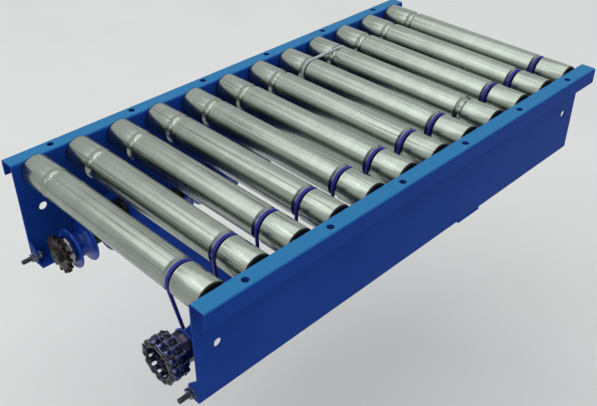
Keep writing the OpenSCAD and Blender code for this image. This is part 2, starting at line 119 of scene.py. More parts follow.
def material(name, dark, light, rough, metal=0.0, scale=60.0, stretch=(1, 1, 1), bump=0.0, bump_scale=900.0,
             rough_var=0.08, spec=0.5, speck=0.0, reflection_lines=0.0, top=None, face=None):
    """Finish that varies from dark to light, with a varying roughness and a fine bump.

    speck: strength of dark spots. lines: strength of thin dark painted reflections along Y.
    top: painted highlight, the lighter colour of upward faces near Z 0, where light from above falls.
    face: painted shade, the dark colour of faces toward -X.
    """
    m = bpy.data.materials.new(name)
    m.use_nodes = True
    nodes, link = m.node_tree.nodes, m.node_tree.links.new
    shader = nodes["Principled BSDF"]
    shader.inputs["Metallic"].default_value = metal
    shader.inputs["Specular IOR Level"].default_value = spec
    place = nodes.new("ShaderNodeTexCoord").outputs["Object"]

    def scaled(factors):
        node = nodes.new("ShaderNodeMapping")
        node.inputs["Scale"].default_value = factors
        link(place, node.inputs["Vector"])
        return node.outputs["Vector"]

    def noise(vector, size_, detail, roughness=0.5):
        node = nodes.new("ShaderNodeTexNoise")
        node.inputs["Scale"].default_value = size_
        node.inputs["Detail"].default_value = detail
        node.inputs["Roughness"].default_value = roughness
        link(vector, node.inputs["Vector"])
        return node.outputs["Fac"]

    def remap(value, from_min, from_max, to_min=0.0, to_max=1.0):
        node = nodes.new("ShaderNodeMapRange")
        for key, number in (("From Min", from_min), ("From Max", from_max), ("To Min", to_min), ("To Max", to_max)):
            node.inputs[key].default_value = number
        link(value, node.inputs["Value"])
        return node.outputs["Result"]

    def mixed(base, factor, other):
        node = nodes.new("ShaderNodeMixRGB")
        node.inputs["Color2"].default_value = other
        link(factor, node.inputs["Fac"])
        link(base, node.inputs["Color1"])
        return node.outputs["Color"]

    def component(vector, axis):
        node = nodes.new("ShaderNodeSeparateXYZ")
        link(vector, node.inputs["Vector"])
        return node.outputs[axis]

    def normal(axis):
        return component(nodes.new("ShaderNodeNewGeometry").outputs["Normal"], axis)

    grain = scaled(stretch)
    ramp = nodes.new("ShaderNodeValToRGB")
    for element, position, shade in zip(ramp.color_ramp.elements, (0.3, 0.7), (dark, light)):
        element.position = position
        element.color = shade
    link(noise(grain, scale, 5, 0.6), ramp.inputs["Fac"])
    colour = ramp.outputs["Color"]
    if speck:
        colour = mixed(colour, remap(noise(place, 350, 8), 0.62, 0.75, to_max=speck), (0.02, 0.018, 0.016, 1))
    # Painted reflections: thin dark marks along Y that stand for neighbouring edges mirrored in the surface.
    if reflection_lines:
        reflection_streaks = noise(scaled((90, 1.1, 90)), 3.2, 3)
        colour = mixed(colour, remap(reflection_streaks, 0.58, 0.68, to_max=reflection_lines), (0.05, 0.055, 0.05, 1))
    # Painted highlight: upward faces near Z 0 take the lighter top colour, as if lit from above.
    if top:
        both = nodes.new("ShaderNodeMath")
        both.operation = "MULTIPLY"
        link(remap(normal("Z"), 0.5, 0.98), both.inputs[0])
        link(remap(component(place, "Z"), -0.03, -0.01), both.inputs[1])
        colour = mixed(colour, both.outputs["Value"], top)
    # Painted shade: faces toward -X take the dark face colour.
    if face:
        colour = mixed(colour, remap(normal("X"), -0.45, -0.9), face)
    link(colour, shader.inputs["Base Color"])
    gloss = remap(noise(grain, scale * 0.35, 4), 0.0, 1.0, max(0.02, rough - rough_var), rough + rough_var)
    link(gloss, shader.inputs["Roughness"])
    if bump:
        relief = nodes.new("ShaderNodeBump")
        relief.inputs["Strength"].default_value = bump
        relief.inputs["Distance"].default_value = 0.0002
        link(noise(grain, bump_scale, 2), relief.inputs["Height"])
        link(relief.outputs["Normal"], shader.inputs["Normal"])
    return m


# The rails' top colour is a painted highlight on their upward faces near the top.
PAINT = material("rail_paint", srgb(17, 53, 131), srgb(21, 58, 138), 0.42, scale=9, bump=0.05, bump_scale=500,
                 rough_var=0.04, spec=0.03, top=srgb(43, 107, 154))
CHANNEL = material("channel_paint", srgb(24, 60, 158), srgb(30, 68, 168), 0.4, scale=9, bump=0.05, bump_scale=500,
                   rough_var=0.05, spec=0.12)
# The thin dark marks along the rollers are painted reflections of neighbouring edges.
STEEL = material("roller_steel", srgb(148, 155, 147), srgb(161, 168, 160), 0.27, metal=1.0, scale=4,
                 stretch=(1, 9, 1), bump=0.01, bump_scale=60, rough_var=0.04, reflection_lines=0.5)
CAP = material("cap_plastic", srgb(10, 10, 12), srgb(20, 20, 22), 0.5, scale=120, bump=0.15, spec=0.3)
BELT = material("belt", srgb(33, 36, 122), srgb(43, 47, 140), 0.42, scale=80, bump=0.06, spec=0.25)
BAND = material("band", srgb(130, 134, 138), srgb(172, 175, 178), 0.3, scale=80, bump=0.06)
SPOOL = material("spool_plastic", srgb(13, 50, 138), srgb(20, 68, 166), 0.28, scale=70, bump=0.05, spec=0.35)
BLACK = material("black_steel", srgb(14, 14, 17), srgb(28, 28, 32), 0.42, metal=0.2, scale=50, bump=0.1, spec=0.3)
BLACKENED = material("sprocket_black", srgb(34, 26, 27), srgb(62, 50, 52), 0.4, metal=0.8, scale=55, bump=0.15,
                     speck=0.3)
HARD = material("sprocket_steel", srgb(44, 42, 50), srgb(84, 80, 90), 0.36, metal=1.0, scale=70, bump=0.12,
                speck=0.4)
MAUVE = material("hub_steel", srgb(94, 88, 116), srgb(128, 120, 136), 0.36, metal=1.0, scale=14,
                 stretch=(12, 1, 1), bump=0.08, bump_scale=120)
BRIGHT = material("bright_steel", srgb(124, 126, 130), srgb(164, 166, 170), 0.14, metal=1.0, scale=12,
                  stretch=(20, 1, 1), bump=0.01, bump_scale=60, rough_var=0.03)
# The chain's face colour is painted shade on the plates' faces toward -X.
CHAIN = material("chain_steel", srgb(66, 70, 108), srgb(138, 142, 182), 0.24, metal=1.0, scale=110, bump=0.1,
                 speck=0.5, face=srgb(10, 9, 9))
# The pins' face colour is painted shade on their ends toward -X.
PINS = material("pin_steel", srgb(110, 112, 134), srgb(170, 172, 188), 0.24, metal=1.0, scale=130, bump=0.08,
                speck=0.4, face=srgb(60, 55, 50))
BARREL = material("barrel_steel", srgb(98, 100, 146), srgb(156, 158, 200), 0.2, metal=1.0, scale=130, bump=0.06,
                  speck=0.3)
ZINC = material("zinc", srgb(120, 122, 126), srgb(160, 162, 164), 0.32, metal=1.0, scale=160, bump=0.1)
DARKZ = material("dark_zinc", srgb(50, 50, 55), srgb(86, 86, 92), 0.36, metal=1.0, scale=150, bump=0.12)
NUTS = material("nut_zinc", srgb(84, 88, 100), srgb(138, 142, 154), 0.26, metal=1.0, scale=150, bump=0.08)
AXLE = material("axle_steel", srgb(80, 80, 84), srgb(116, 116, 118), 0.32, metal=1.0, scale=10, stretch=(1, 0.2, 1),
                bump=0.08, bump_scale=200)
BRONZE = material("bronze", srgb(140, 106, 60), srgb(172, 136, 84), 0.34, metal=1.0, scale=60, bump=0.1)
FLOOR = material("floor", srgb(205, 205, 205), srgb(208, 208, 208), 0.9, scale=3, spec=0.1)

# ---------------------------------------------------------------- mesh helpers


def fillet(pts, radius, seg=4):
    """Rounds every corner of a closed outline; radius is one number or one for each corner."""
    out = []
    n = len(pts)
    for i in range(n):
        p = Vector(pts[i])
        r = radius[i] if isinstance(radius, (list, tuple)) else radius
        u, w = Vector(pts[i - 1]) - p, Vector(pts[(i + 1) % n]) - p
        if r <= 0 or u.length < 1e-9 or w.length < 1e-9:
            out.append(tuple(p))
            continue
        un, wn = u.normalized(), w.normalized()
        ang = un.angle(wn)
        if ang > math.radians(174):
            out.append(tuple(p))
            continue
        t = min(r / math.tan(ang / 2), u.length * 0.45, w.length * 0.45)
        rr = t * math.tan(ang / 2)
        c = p + (un + wn).normalized() * (rr / math.sin(ang / 2))
        a, b = p + un * t - c, p + wn * t - c
        turn = a.angle(b)
        cross = a.x * b.y - a.y * b.x
        s = 1 if cross > 0 else -1
        for k in range(seg + 1):
            q = s * turn * k / seg
            out.append((c.x + a.x * math.cos(q) - a.y * math.sin(q),
                        c.y + a.x * math.sin(q) + a.y * math.cos(q)))
    return out


def area(pts):
    """Area of a closed outline, positive if it runs counterclockwise."""
    return sum(pts[i - 1][0] * pts[i][1] - pts[i][0] * pts[i - 1][1] for i in range(len(pts))) / 2


def inset(pts, d):
    """Moves a closed outline inward by d (outward if it is negative)."""
    if area(pts) < 0:
        d = -d
    n = len(pts)
    out = []
    for i in range(n):
        p, a, b = Vector(pts[i]), Vector(pts[i - 1]), Vector(pts[(i + 1) % n])
        e, f = (p - a).normalized(), (b - p).normalized()
        ne, nf = Vector((-e.y, e.x)), Vector((-f.y, f.x))
        m = ne + nf
        m = m.normalized() if m.length > 1e-6 else ne
        k = max(0.35, m.dot(ne))
        out.append(tuple(p + m * (d / k)))
    return out


def prism(bm, outline, z0, z1, bevel=0.0, holes=(), mat=None, seg=1):
    """Solid plate of that outline between z0 and z1, edges rounded by bevel, with holes through it.

    Each level is a height and the inset there: out to the full outline, along it and in again.
    """
    mat = mat or Matrix.Identity(4)
    loops = [list(outline)] + [list(h) for h in holes]
    loops = [l if area(l) > 0 else l[::-1] for l in loops]
    levels = [(z0, 0), (z1, 0)]
    if bevel:
        turns = [math.pi / 2 * k / seg for k in range(seg + 1)]
        levels = [(z0 + bevel * (1 - math.sin(q)), bevel * (1 - math.cos(q))) for q in turns[::-1]]
        levels += [(z1 - bevel * (1 - math.sin(q)), bevel * (1 - math.cos(q))) for q in turns]
    rings = []
    for li, loop in enumerate(loops):
        col = []
        for z, d in levels:
            pts = inset(loop, d if li == 0 else -d) if d > 1e-9 else loop
            col.append([bm.verts.new(mat @ Vector((x, y, z))) for x, y in pts])
        rings.append(col)
        for a, b in zip(col, col[1:]):
            n = len(a)
            for i in range(n):
                j = (i + 1) % n
                quad = (a[i], a[j], b[j], b[i]) if li == 0 else (a[j], a[i], b[i], b[j])
                bm.faces.new(quad)
    for end in (0, -1):
        flat = [[v.co.copy() for v in col[end]] for col in rings]
        verts = [v for col in rings for v in col[end]]
        inv = mat.inverted()
        tris = tessellate_polygon([[(inv @ c).to_2d().to_3d() for c in loop] for loop in flat])
        for t in tris:
            vs = [verts[i] for i in t]
            a, b, c = [(inv @ v.co) for v in vs]
            up = (b - a).cross(c - a).z > 0
            if up != (end == -1):
                vs.reverse()
            try:
                bm.faces.new(vs)
            except ValueError:
                pass


def spin(bm, profile, mat, n):
    """Revolves a closed outline of (radius, height) points about the local Z axis."""
    rings = []
    for k in range(n):
        a = 2 * math.pi * k / n
        rings.append([bm.verts.new(mat @ Vector((r * math.cos(a), r * math.sin(a), z))) for r, z in profile])
    m = len(profile)
    for k in range(n):
        a, b = rings[k], rings[(k + 1) % n]
        for i in range(m):
            j = (i + 1) % m
            bm.faces.new((a[i], b[i], b[j], a[j]))


def solid_spin(bm, profile, mat, n):
    """Revolves an open profile whose two ends lie on the axis."""
    first = bm.verts.new(mat @ Vector((0, 0, profile[0][1])))
    last = bm.verts.new(mat @ Vector((0, 0, profile[-1][1])))
    mid = profile[1:-1]
    rings = []
    for k in range(n):
        a = 2 * math.pi * k / n
        rings.append([bm.verts.new(mat @ Vector((r * math.cos(a), r * math.sin(a), z))) for r, z in mid])
    for k in range(n):
        a, b = rings[k], rings[(k + 1) % n]
        bm.faces.new((first, b[0], a[0]))
        for i in range(len(mid) - 1):
            bm.faces.new((a[i], b[i], b[i + 1], a[i + 1]))
        bm.faces.new((a[-1], b[-1], last))


def polar(bm, radius, zs, mat, n=96, bore=0.0):
    """Closed solid with the outer radius radius(angle, z); bore leaves a hole with chamfered ends."""
    angles = [2 * math.pi * k / n for k in range(n)]

    def ring(z, r):
        return [bm.verts.new(mat @ Vector((r(a, z) * math.cos(a), r(a, z) * math.sin(a), z))) for a in angles]

    def skin(rows, inward):
        for a, b in zip(rows, rows[1:]):
            for k in range(n):
                j = (k + 1) % n
                bm.faces.new((a[j], a[k], b[k], b[j]) if inward else (a[k], a[j], b[j], b[k]))

    outer = [ring(z, radius) for z in zs]
    skin(outer, False)
    if not bore:
        bm.faces.new(outer[0][::-1])
        bm.faces.new(outer[-1])
        return
    mouth, lip = bore * 1.08, bore * 0.08
    inner = [ring(z, lambda a, z, r=r: r)
             for z, r in ((zs[0], mouth), (zs[0] + lip, bore), (zs[-1] - lip, bore), (zs[-1], mouth))]
    skin(inner, True)
    for k in range(n):
        j = (k + 1) % n
        bm.faces.new((outer[0][j], outer[0][k], inner[0][k], inner[0][j]))
        bm.faces.new((outer[-1][k], outer[-1][j], inner[-1][j], inner[-1][k]))


# Outlines in X and Z, drawn out along Y.
ACROSS = Matrix(((1, 0, 0, 0), (0, 0, -1, 0), (0, 1, 0, 0), (0, 0, 0, 1)))
# Outlines given as (Y, X), drawn out along Z.
SWAP_XY = Matrix(((0, 1, 0, 0), (1, 0, 0, 0), (0, 0, 1, 0), (0, 0, 0, 1)))


def along_x(x, y, z):
    """Local X, Y, Z become the row's Y, Z, X."""
    return Matrix.Translation((x, y, z)) @ Matrix(((0, 0, 1, 0), (1, 0, 0, 0), (0, 1, 0, 0), (0, 0, 0, 1)))


def along_y(x, y, z):
    """Local Z becomes the row's Y."""
    return Matrix.Translation((x, y, z)) @ Matrix(((1, 0, 0, 0), (0, 0, 1, 0), (0, -1, 0, 0), (0, 0, 0, 1)))


def turn(a):
    return Matrix.Rotation(a, 4, "Z")


def shift(x=0, y=0, z=0):
    return Matrix.Translation((x, y, z))


def piece(name, bm, mat, body, node, sharp=32, flat=False):
    """Makes the object, rides it on its body and lets it stand for its CAD node, if it has one."""
    bmesh.ops.recalc_face_normals(bm, faces=bm.faces)
    lim = math.radians(sharp)
    for f in bm.faces:
        f.smooth = not flat
    for e in bm.edges:
        if len(e.link_faces) == 2 and e.calc_face_angle(0) > lim:
            e.smooth = False
    me = bpy.data.meshes.new(name)
    bm.to_mesh(me)
    bm.free()
    o = bpy.data.objects.new(name, me)
    COL.objects.link(o)
    me.materials.append(mat)
    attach(o, body)
    if node:
        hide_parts(node)
    return o


def drill(obj, bm):
    """Cuts the closed solids in bm out of obj."""
    me = bpy.data.meshes.new("cut")
    bmesh.ops.recalc_face_normals(bm, faces=bm.faces)
    bm.to_mesh(me)
    bm.free()
    tool = bpy.data.objects.new("cut", me)
    COL.objects.link(tool)
    mod = obj.modifiers.new("cut", "BOOLEAN")
    mod.operation = "DIFFERENCE"
    mod.solver = "EXACT"
    mod.use_self = True
    mod.object = tool
    dg = bpy.context.evaluated_depsgraph_get()
    done = bpy.data.meshes.new_from_object(obj.evaluated_get(dg))
    obj.modifiers.clear()
    old = obj.data
    obj.data = done
    bpy.data.meshes.remove(old)
    bpy.data.objects.remove(tool)


def circle(r, n=32, cx=0, cy=0):
    return [(cx + r * math.cos(2 * math.pi * k / n), cy + r * math.sin(2 * math.pi * k / n)) for k in range(n)]


def folded(path, seg):
    """Outline of folded sheet along an open path of its middle line."""
    thick, r = SHEET, BEND_R
    mid = []
    for i, p in enumerate(path):
        p = Vector(p)
        if i in (0, len(path) - 1):
            mid.append(p)
            continue
        u, w = (Vector(path[i - 1]) - p).normalized(), (Vector(path[i + 1]) - p).normalized()
        c = p + (u + w) * r
        a, b = -w * r, -u * r
        for k in range(seg + 1):
            q = math.pi / 2 * k / seg
            mid.append(c + a * math.cos(q) + b * math.sin(q))
    left, right = [], []
    for i, p in enumerate(mid):
        d = (mid[min(i + 1, len(mid) - 1)] - mid[max(i - 1, 0)]).normalized()
        nrm = Vector((-d.y, d.x)) * thick / 2
        left.append(tuple(p + nrm))
        right.append(tuple(p - nrm))
    return left + right[::-1]


# ---------------------------------------------------------------- side rails
FLANGE_W = 0.0278                   # web's inner face to the middle of the lip
LIP_Z = -0.027
FOOT_W = 0.033
AXLE_AF = 0.0112                    # hexagonal axle holes, across flats
FLANGE_HOLE_R, FLANGE_HOLE_Y = 0.0055, 0.0161
WEB_HOLE_R, WEB_HOLE_X, WEB_HOLE_Z = 0.007, 0.036, -0.088
TAB_W, TAB_H, TAB_CLIP = 0.0195, 0.038, 0.0155
TAB_GAP = 0.0002                    # left between a tab and the web
STUD_IN, STUD_UP = 0.0112, 0.013    # joint studs: from the web and from the rail's bottom
WELD = 0.0016                       # radius of the weld bead behind a tab


def build_rail(name, s, node):
    """Folded rail with its holes, and its two end tabs; s is the side it stands on, -1 or 1."""
    y, t = WEB, SHEET
    z = RAIL_LO.z + t / 2
    path = [(y + FLANGE_W, LIP_Z), (y + FLANGE_W, -t / 2), (y + t / 2, -t / 2), (y + t / 2, z), (y + t - FOOT_W, z)]
    bm = bmesh.new()
    flip = Matrix.Scale(s, 4, (0, 1, 0))
    prism(bm, folded(path, 10), XE, XF, 0.0005, mat=flip @ along_x(0, 0, 0), seg=2)
    rail = piece(name, bm, PAINT, "frame", node, flat=True)
    cut = bmesh.new()
    through = (y - 0.002, y + t + 0.002)
    for p in ROLL:
        prism(cut, circle(AXLE_AF / 2 / math.cos(math.pi / 6), 6), *through, mat=flip @ along_y(p.x, 0, RZ))
    for k in range(6):
        x = XE + PITCH * (2 * k + 1)
        prism(cut, circle(FLANGE_HOLE_R, 40), -0.006, 0.003, mat=flip @ shift(x, y + FLANGE_HOLE_Y, 0))
    for x in (XE + WEB_HOLE_X, XF - WEB_HOLE_X):
        prism(cut, circle(WEB_HOLE_R, 48), *through, mat=flip @ along_y(x, 0, WEB_HOLE_Z))
    drill(rail, cut)
    bm = bmesh.new()
    z0, z1 = RAIL_LO.z + t, RAIL_LO.z + TAB_H
    root = y - TAB_GAP
    tab = fillet([(y - TAB_W, z0), (root, z0), (root, z1), (y - 0.004, z1), (y - TAB_W, z1 - TAB_CLIP)],
                 [0.0005, 0.0005, 0.0005, 0.0015, 0.0015], 4)
    for x, hole in ((XE, 0.0041), (XF - t, 0.0045)):
        prism(bm, tab, x, x + t, 0.0005, holes=[circle(hole, 32, y - STUD_IN, RAIL_LO.z + STUD_UP)],
              mat=flip @ along_x(0, 0, 0), seg=2)
        back, way = (x + t, 1) if x < 0 else (x, -1)
        turns = [math.pi / 2 * k / 8 for k in range(9)]
        bead = [(root - WELD * (1 - math.sin(q)), back + way * WELD * (1 - math.cos(q))) for q in turns]
        prism(bm, bead + [(root, back)], z0 + 0.002, z1 - 0.001, mat=flip @ SWAP_XY)
    piece(name + "_ends", bm, PAINT, "frame", None, flat=True)


build_rail("near_rail", -1, "near_side_rail")
build_rail("far_rail", 1, "far_side_rail")

# ---------------------------------------------------------------- channels
FOOT_L = 0.018          # length of a cross channel's foot beyond its web
FOOT_HALF = 0.012       # half its width


def channel_path(x0, x1, lo, hi):
    """Middle line of an inverted U between x0 and x1."""
    t = SHEET / 2
    return [(x0 + t, lo.z), (x0 + t, hi.z - t), (x1 - t, hi.z - t), (x1 - t, lo.z)]


def build_channel(name, node, front):
    """Cross channel with bearing holes and four feet; the bearing side of front faces the row's end."""
    lo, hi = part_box(node)
    x0, x1 = lo.x + FOOT_L, hi.x - FOOT_L
    t = SHEET
    bm = bmesh.new()
    prism(bm, folded(channel_path(x0, x1, lo, hi), 8), lo.y, hi.y, 0.0004, mat=ACROSS, seg=2)
    channel = piece(name, bm, CHANNEL, "frame", node, flat=True)
    cut = bmesh.new()
    near_web, far_web = (x0, x1 - t) if front else (x1 - t, x0)
    for y in (-GY, GY):
        prism(cut, circle(0.0147, 48), near_web - 0.002, near_web + t + 0.002, mat=along_x(0, y, SZ))
        prism(cut, circle(0.0155, 48), far_web - 0.002, far_web + t + 0.002, mat=along_x(0, y, SZ))
    drill(channel, cut)
    bm = bmesh.new()
    for xa, xb in ((x0 - FOOT_L, x0), (x1, x1 + FOOT_L)):
        corners = [0.004, 0, 0, 0.004] if xa < x0 else [0, 0.004, 0.004, 0]
        for s in (-1, 1):
            y0, y1 = s * FOOT_Y - FOOT_HALF, s * FOOT_Y + FOOT_HALF
            prism(bm, fillet([(xa, y0), (xb, y0), (xb, y1), (xa, y1)], corners, 5), lo.z, lo.z + t, 0.0004, seg=2)
    piece(name + "_feet", bm, CHANNEL, "frame", None, flat=True)


build_channel("front_cross_channel", "cross_channel_front", True)
build_channel("rear_cross_channel", "cross_channel_rear", False)

LEG = WEB - 0.042       # the drive channel's legs end here, and flat plates go on under the rails
lo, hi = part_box("drive_channel")
bm = bmesh.new()
prism(bm, folded(channel_path(lo.x, hi.x, lo, hi), 8), -LEG, LEG, 0.0004, mat=ACROSS, seg=2)
for s in (-1, 1):
    y0, y1 = s * (LEG - 0.001), s * hi.y
    plate = fillet([(lo.x, y0), (hi.x, y0), (hi.x, y1), (lo.x, y1)], [0, 0, 0.0015, 0.0015], 4)
    prism(bm, plate, hi.z - SHEET, hi.z, 0.0004, seg=2)
piece("drive_tray", bm, CHANNEL, "frame", "drive_channel", flat=True)

# ---------------------------------------------------------------- fasteners


def hex_radius(af, z0, z1, both=True):
    """Radius of a hexagonal nut or head from z0 to z1, corners turned off at both ends or at z1 only."""
    def radius(a, z):
        q = (a + math.pi / 6) % (math.pi / 3) - math.pi / 6
        turned = [af / 2 * 0.97 + (end - z if end == z1 else z - end) * 1.9 for end in ((z0, z1) if both else (z1,))]
        return min([af / 2 / math.cos(q)] + turned)
    return radius


def hexagon(bm, af, z0, z1, mat, both=True, bore=0.0):
    d = z1 - z0
    shares = (0, 0.03, 0.07, 0.12, 0.2)
    zs = [z0 + d * q for q in shares] + [z1 - d * q for q in shares[::-1]]
    polar(bm, hex_radius(af, z0, z1, both), zs, mat, bore=bore)


def thread(bm, r, z0, z1, mat, pitch=0.00125, depth=0.0006, n=32):
    """Screw thread as one helical surface with faded ends."""
    rows = int((z1 - z0) / pitch * 6)
    rings = []
    for j in range(rows + 1):
        z = z0 + (z1 - z0) * j / rows
        ring = []
        for k in range(n):
            a = 2 * math.pi * k / n
            u = ((z - z0) / pitch - k / n) % 1.0
            d = depth * (1 - abs(2 * u - 1))
            edge = min(1.0, (z - z0) / pitch, (z1 - z) / pitch)
            rr = r - d - (1 - edge) * depth * 0.6
            ring.append(bm.verts.new(mat @ Vector((rr * math.cos(a), rr * math.sin(a), z))))
        rings.append(ring)
    for a, b in zip(rings, rings[1:]):
        for k in range(n):
            j = (k + 1) % n
            bm.faces.new((a[k], a[j], b[j], b[k]))
    bm.faces.new(rings[0][::-1])
    bm.faces.new(rings[-1])


slo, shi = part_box("joint_studs")
SY, STZ = shi.y - M8_R, (slo.z + shi.z) / 2
studs, nuts, washers = bmesh.new(), bmesh.new(), bmesh.new()
for s in (-1, 1):
    thread(studs, M8_R, slo.x, shi.x, along_x(0, s * SY, STZ))
for s in (-1, 1):
    for x in (XE - 0.0072, XE + SHEET):
        hexagon(nuts, M8_AF, x, x + 0.006, along_x(0, s * SY, STZ), bore=M8_NUT_BORE)
    prism(washers, circle(0.008, 48), XE - 0.0012, XE, 0.0002, holes=[circle(0.0042, 48)],
          mat=along_x(0, s * SY, STZ))
piece("studs", studs, DARKZ, "frame", "joint_studs", sharp=70)
piece("stud_nuts", nuts, NUTS, "frame", "joint_nuts")
piece("stud_washers", washers, ZINC, "frame", "joint_washers")

flo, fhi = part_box("cross_channel_front")
rlo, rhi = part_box("cross_channel_rear")
bm = bmesh.new()
for x in (flo.x + FOOT_L / 2, fhi.x - FOOT_L / 2, rlo.x + FOOT_L / 2, rhi.x - FOOT_L / 2):
    for s in (-1, 1):
        z0, z = RAIL_LO.z, RAIL_LO.z + 2 * SHEET
        hexagon(bm, M6_AF, z, z + M6_HEAD, shift(x, s * FOOT_Y, 0), both=False)
        solid_spin(bm, [(0, z0), (0.0026, z0), (M6_R, z0 + 0.0004), (M6_R, z), (0, z)],
                   shift(x, s * FOOT_Y, 0), 24)
piece("channel_bolts", bm, DARKZ, "frame", "cross_channel_screws")

dlo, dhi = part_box("drive_channel_screws")
bm, bn = bmesh.new(), bmesh.new()
DOME = [(0, -0.0042), (0.0022, -0.0042), (0.0022, -0.0022), (0.0025, -0.0042), (0.0048, -0.0036), (0.0064, -0.002),
        (0.007, -0.0004), (0.007, 0), (M8_R, 0), (M8_R, 0.009), (0, 0.009)]
for x in (dlo.x + 0.007, dhi.x - 0.007):
    for s in (-1, 1):
        z, zn = RAIL_LO.z - SHEET, RAIL_LO.z + SHEET
        solid_spin(bm, [(r, z + h) for r, h in DOME], shift(x, s * FOOT_Y, 0), 32)
        thread(bm, M8_R, z + 0.009, dhi.z, shift(x, s * FOOT_Y, 0))
        hexagon(bn, M8_AF, zn, zn + 0.0065, shift(x, s * FOOT_Y, 0), bore=M8_NUT_BORE)
piece("tray_bolts", bm, DARKZ, "frame", "drive_channel_screws")
piece("tray_nuts", bn, DARKZ, "frame", "drive_channel_nuts")

# ---------------------------------------------------------------- bearing plates and screws
PLATE_T = 0.0075
plo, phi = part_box("bearing_plates")
PLATE = fillet([(-0.018, -0.031), (0.018, -0.031), (0.018, 0.036), (0.011, 0.043), (-0.011, 0.043), (-0.018, 0.036)],
               [0.002, 0.002, 0.004, 0.004, 0.004, 0.004], 4)
bm, bs = bmesh.new(), bmesh.new()
for x0, x1, web in ((plo.x, plo.x + PLATE_T, 1), (phi.x - PLATE_T, phi.x, -1)):
    for y in (-GY, GY):
        prism(bm, PLATE, x0, x1, 0.0006, holes=[circle(0.01452, 64)], mat=along_x(0, y, SZ), seg=2)
        for d in (-0.011, 0.011):
            face = x1 + SHEET if web > 0 else x0 - SHEET - M6_HEAD
            hexagon(bs, M6_AF, face, face + M6_HEAD, along_x(0, y + d, SZ - 0.023))
piece("bearing_blocks", bm, BLACK, "frame", "bearing_plates")
piece("bearing_bolts", bs, DARKZ, "frame", "bearing_screws")

# ---------------------------------------------------------------- rollers
GROOVE_HALF = 0.0078    # half the width of a rolled groove
GROOVE_ARC = 0.008      # radius of its cross-section
WALL = 0.0015           # tube wall


def tube_profile():
    """Outer skin with two rolled grooves, then the inner wall back again."""
    r, w = TUBE_R, GROOVE_HALF
    outer = []
    for g in (-GY, GY):
        groove = []
        for k in range(25):
            t = -1 + 2 * k / 24
            y = t * w
            a = math.sqrt(max(0.0, GROOVE_ARC ** 2 - y * y))
            groove.append((min(r - 0.00008 * (1 - abs(t)), GROOVE_R + GROOVE_ARC - a), g + y))
        lead = [(r, g - w - 0.0022), (r - 0.00012, g - w - 0.0010)]
        tail = [(r - 0.00012, g + w + 0.0010), (r, g + w + 0.0022)]
        outer += lead + groove + tail
    first = [(r - 0.0006, -TUBE_HALF), (r - 0.0002, -TUBE_HALF + 0.0002), (r, -TUBE_HALF + 0.0007)]
    last = [(r, TUBE_HALF - 0.0007), (r - 0.0002, TUBE_HALF - 0.0002), (r - 0.0006, TUBE_HALF)]
    inner = [(r - WALL, TUBE_HALF)]
    for g in (GY, -GY):
        inner += [(r - WALL, g + 0.012), (GROOVE_R - WALL, g + 0.003), (GROOVE_R - WALL, g - 0.003),
                  (r - WALL, g - 0.012)]
    return first + outer + last + inner + [(r - WALL, -TUBE_HALF)]


def cap_profile():
    """Moulded cap: a plug inside the tube and a dished face outside it."""
    h, plug = TUBE_HALF, TUBE_R - WALL - 0.00005
    return fillet([(0.01005, h - 0.012), (plug, h - 0.012), (plug, h + 0.0001), (CAP_R, h + 0.0001),
                   (CAP_R, CAP_HALF), (0.021, CAP_HALF), (0.0205, CAP_HALF - 0.0012), (0.0135, CAP_HALF - 0.0012),
                   (0.013, CAP_HALF), (0.01005, CAP_HALF)],
                  [0.0003, 0.001, 0.0002, 0.0002, 0.0008, 0.0004, 0.0003, 0.0003, 0.0004, 0.0003], 3)


TUBE, CAP_FORM = tube_profile(), cap_profile()
RIBS = 12
RIB = fillet([(0.0138, -0.0006), (0.0202, -0.0006), (0.0202, 0.0006), (0.0138, 0.0006)], 0.0003, 2)
for i, p in enumerate(ROLL):
    roller = "roller_%02d" % (i + 1)
    bm = bmesh.new()
    spin(bm, TUBE, along_y(p.x, 0, RZ), 96)
    piece(roller + "_shell", bm, STEEL, roller, roller + "_tube", sharp=38)
    bm = bmesh.new()
    for s in (-1, 1):
        end = along_y(p.x, 0, RZ) @ Matrix.Scale(s, 4, (0, 0, 1))
        spin(bm, CAP_FORM, end, 72)
        for k in range(RIBS):
            prism(bm, RIB, CAP_HALF - 0.0014, CAP_HALF - 0.0004, 0.0002, mat=end @ turn(2 * math.pi * k / RIBS))
    piece(roller + "_ends", bm, CAP, roller, roller + "_caps")

# ---------------------------------------------------------------- belts


def smooth_loop(pts, rounds):
    """Evens out a closed loop, each point toward its two neighbours."""
    for _ in range(rounds):
        n = len(pts)
        pts = [pts[i] * 0.5 + (pts[i - 1] + pts[(i + 1) % n]) * 0.25 for i in range(n)]
    return pts


def resample(pts, step):
    """Closed loop with its points spaced evenly, about step apart."""
    n = len(pts)
    out, acc = [], 0.0
    total = sum((pts[(i + 1) % n] - pts[i]).length for i in range(n))
    count = max(8, int(round(total / step)))
    d = total / count
    nxt = 0.0
    for i in range(n):
        a, b = pts[i], pts[(i + 1) % n]
        seg = (b - a).length
        while nxt < acc + seg - 1e-12 and len(out) < count:
            out.append(a.lerp(b, (nxt - acc) / seg))
            nxt += d
        acc += seg
    return out


def loops(name, paths, radius, mat, body, node, slot):
    """Round belts as closed curves."""
    cu = bpy.data.curves.new(name, "CURVE")
    cu.dimensions = "3D"
    cu.bevel_depth = radius
    cu.bevel_resolution = 5
    cu.twist_smooth = 4
    for pts in paths:
        s = cu.splines.new("POLY")
        s.points.add(len(pts) - 1)
        for q, p in zip(s.points, pts):
            q.co = (p.x, p.y, p.z, 1)
        s.use_cyclic_u = True
        s.use_smooth = True
    o = bpy.data.objects.new(name, cu)
    COL.objects.link(o)
    cu.materials.append(mat)
    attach(o, body)
    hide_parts(node)


DROP = RZ - SZ          # from a roller's axis down to the line shaft


